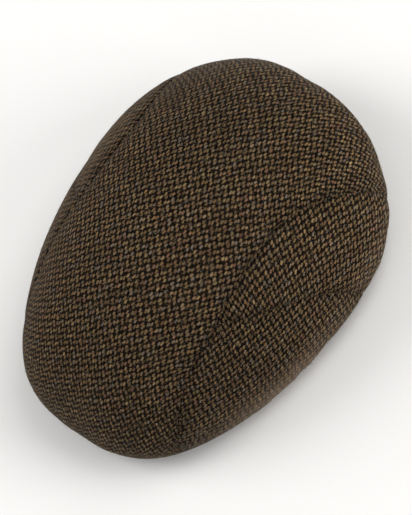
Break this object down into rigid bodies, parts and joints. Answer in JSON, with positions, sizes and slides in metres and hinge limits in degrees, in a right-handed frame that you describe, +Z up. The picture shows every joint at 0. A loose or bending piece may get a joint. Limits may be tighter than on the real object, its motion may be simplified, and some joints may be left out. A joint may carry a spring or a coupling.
{
  "type": "flat cap",
  "caption": "Wool tweed flat cap with a rounded crown, side panels and a stiffened peak, open below for the head.",
  "frame": {"origin": "on the surface the cap lies on, under the middle of its length and width", "axes": "+X to the wearer's left, +Y to the back of the cap, +Z up"},
  "size_m": [0.2176, 0.2796, 0.1148],
  "materials": {
    "tweed": "coarse broken twill of brown and dark wool, slightly fuzzy",
    "peak_cloth": "the same wool cloth, flat over a stiff peak"
  },
  "bodies": {
    "root": {"top_panel": "tweed", "front_side_left": "tweed", "rear_side_left": "tweed", "front_side_right": "tweed", "rear_side_right": "tweed", "peak": "peak_cloth"}
  },
  "joints": []
}
